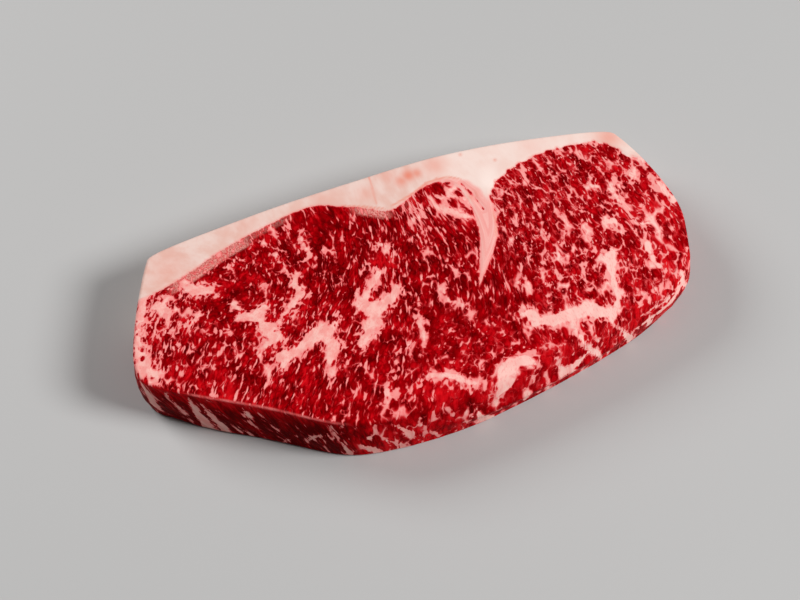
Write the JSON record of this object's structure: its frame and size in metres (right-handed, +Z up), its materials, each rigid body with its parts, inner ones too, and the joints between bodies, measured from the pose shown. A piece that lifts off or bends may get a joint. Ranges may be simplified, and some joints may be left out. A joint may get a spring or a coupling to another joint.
{
  "type": "raw beef striploin steak",
  "caption": "Thick raw striploin steak, heavily marbled, lying flat on its cut face, with a trimmed fat cap along the back edge and a fat seam between its two muscles.",
  "frame": {"origin": "on the floor, under the middle of the steak's outer box", "axes": "+X along the steak, +Y towards the fat cap, +Z up out of the shown cut face"},
  "size_m": [0.2212, 0.1094, 0.0259],
  "materials": {
    "lean": "moist",
    "fat": "satin"
  },
  "bodies": {
    "root": {"lean": "lean", "fat_cap": "fat"}
  },
  "joints": []
}
